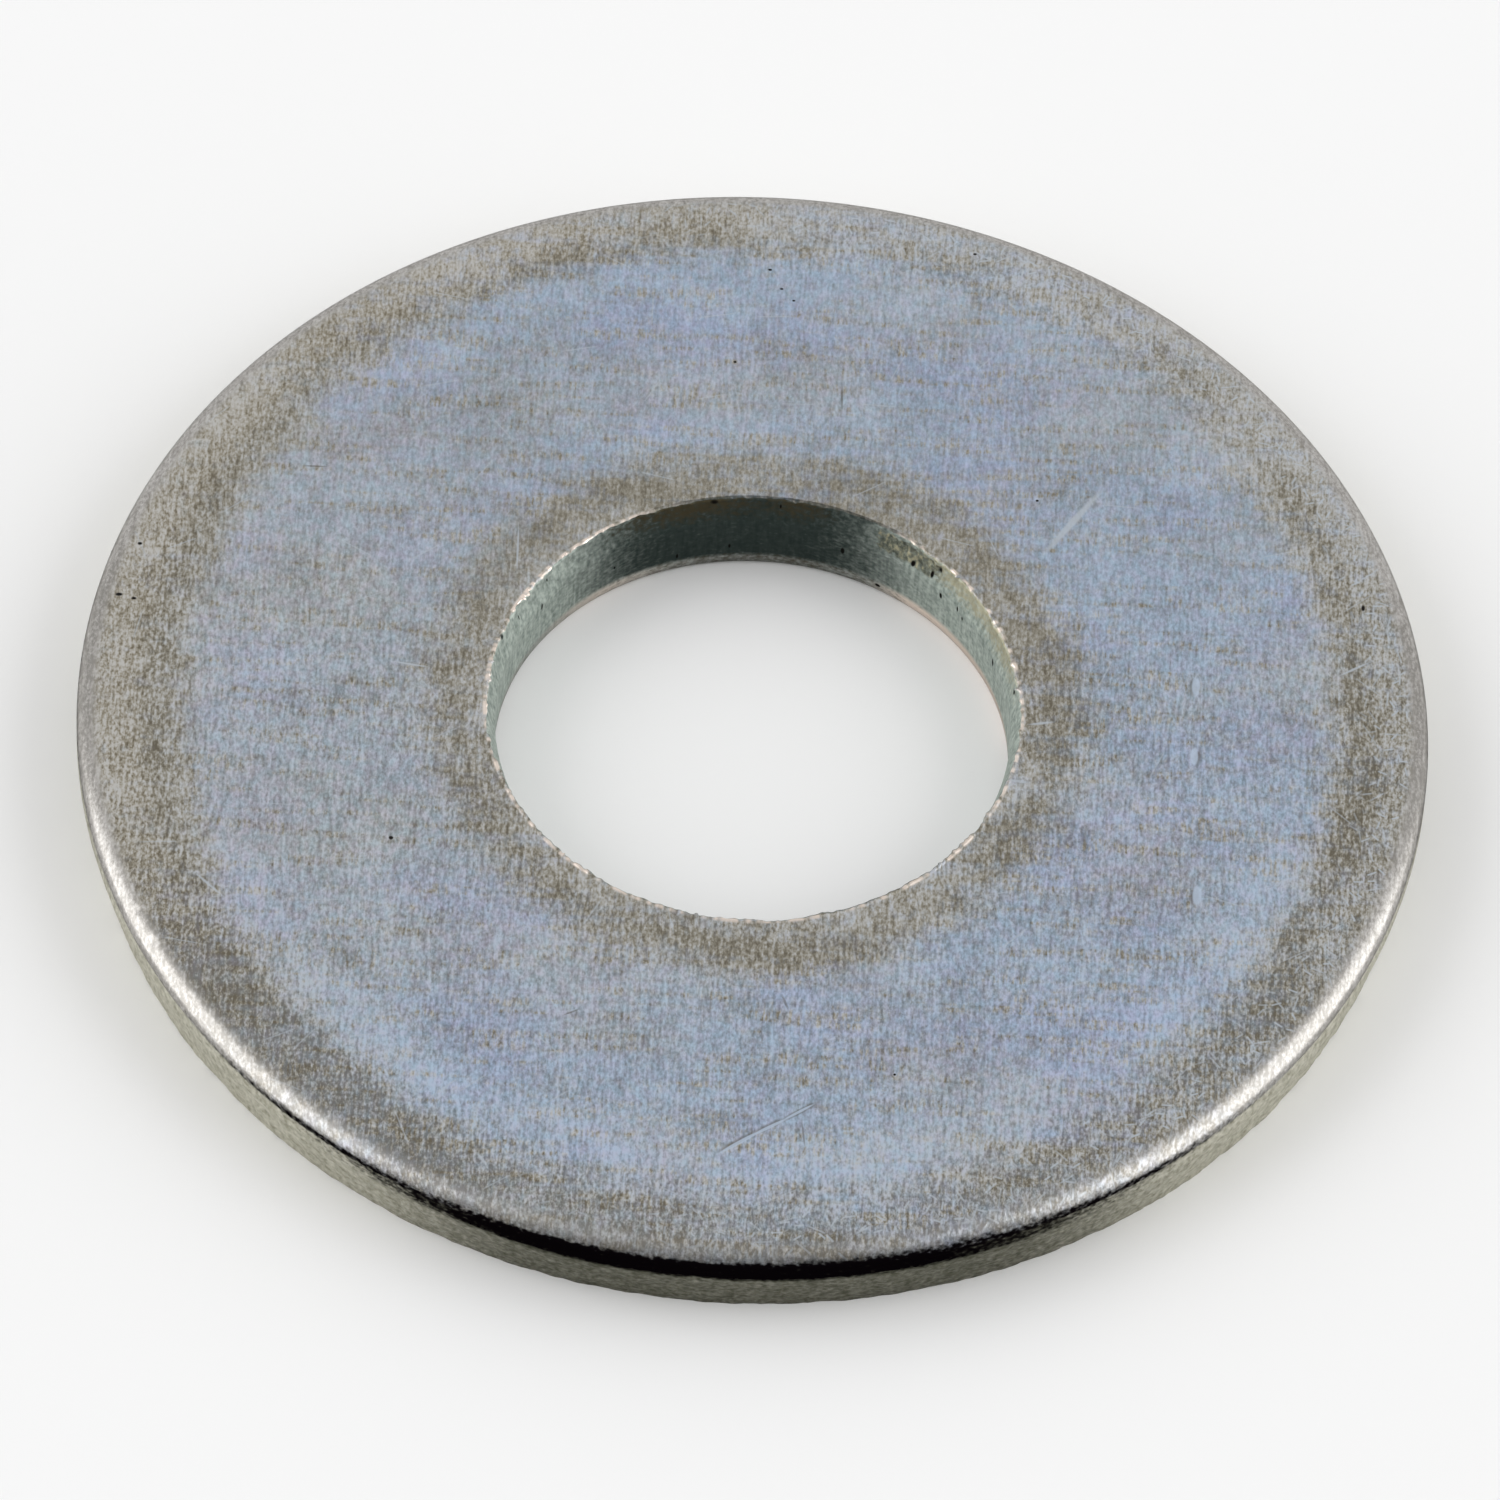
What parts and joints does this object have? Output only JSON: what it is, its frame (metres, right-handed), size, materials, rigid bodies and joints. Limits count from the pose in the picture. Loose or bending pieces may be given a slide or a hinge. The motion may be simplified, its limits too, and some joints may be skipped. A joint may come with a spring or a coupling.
{
  "type": "flat washer",
  "caption": "Round flat steel washer of the large series for an M8 screw: a zinc-plated disc with one plain central hole and sheared edges.",
  "frame": {"origin": "centre of the lower face, on the washer's axis", "axes": "+Z along the axis, from the lower face to the upper one, whose outer edge is rolled; X and Y are free, because the part is round"},
  "size_m": [0.022, 0.022, 0.0016],
  "materials": {
    "zinc_plated_steel": "bright zinc plate with a thin bluish passivate, satin on the faces and rougher on the torn part of the edges"
  },
  "bodies": {
    "root": {"washer": "zinc_plated_steel"}
  },
  "joints": []
}
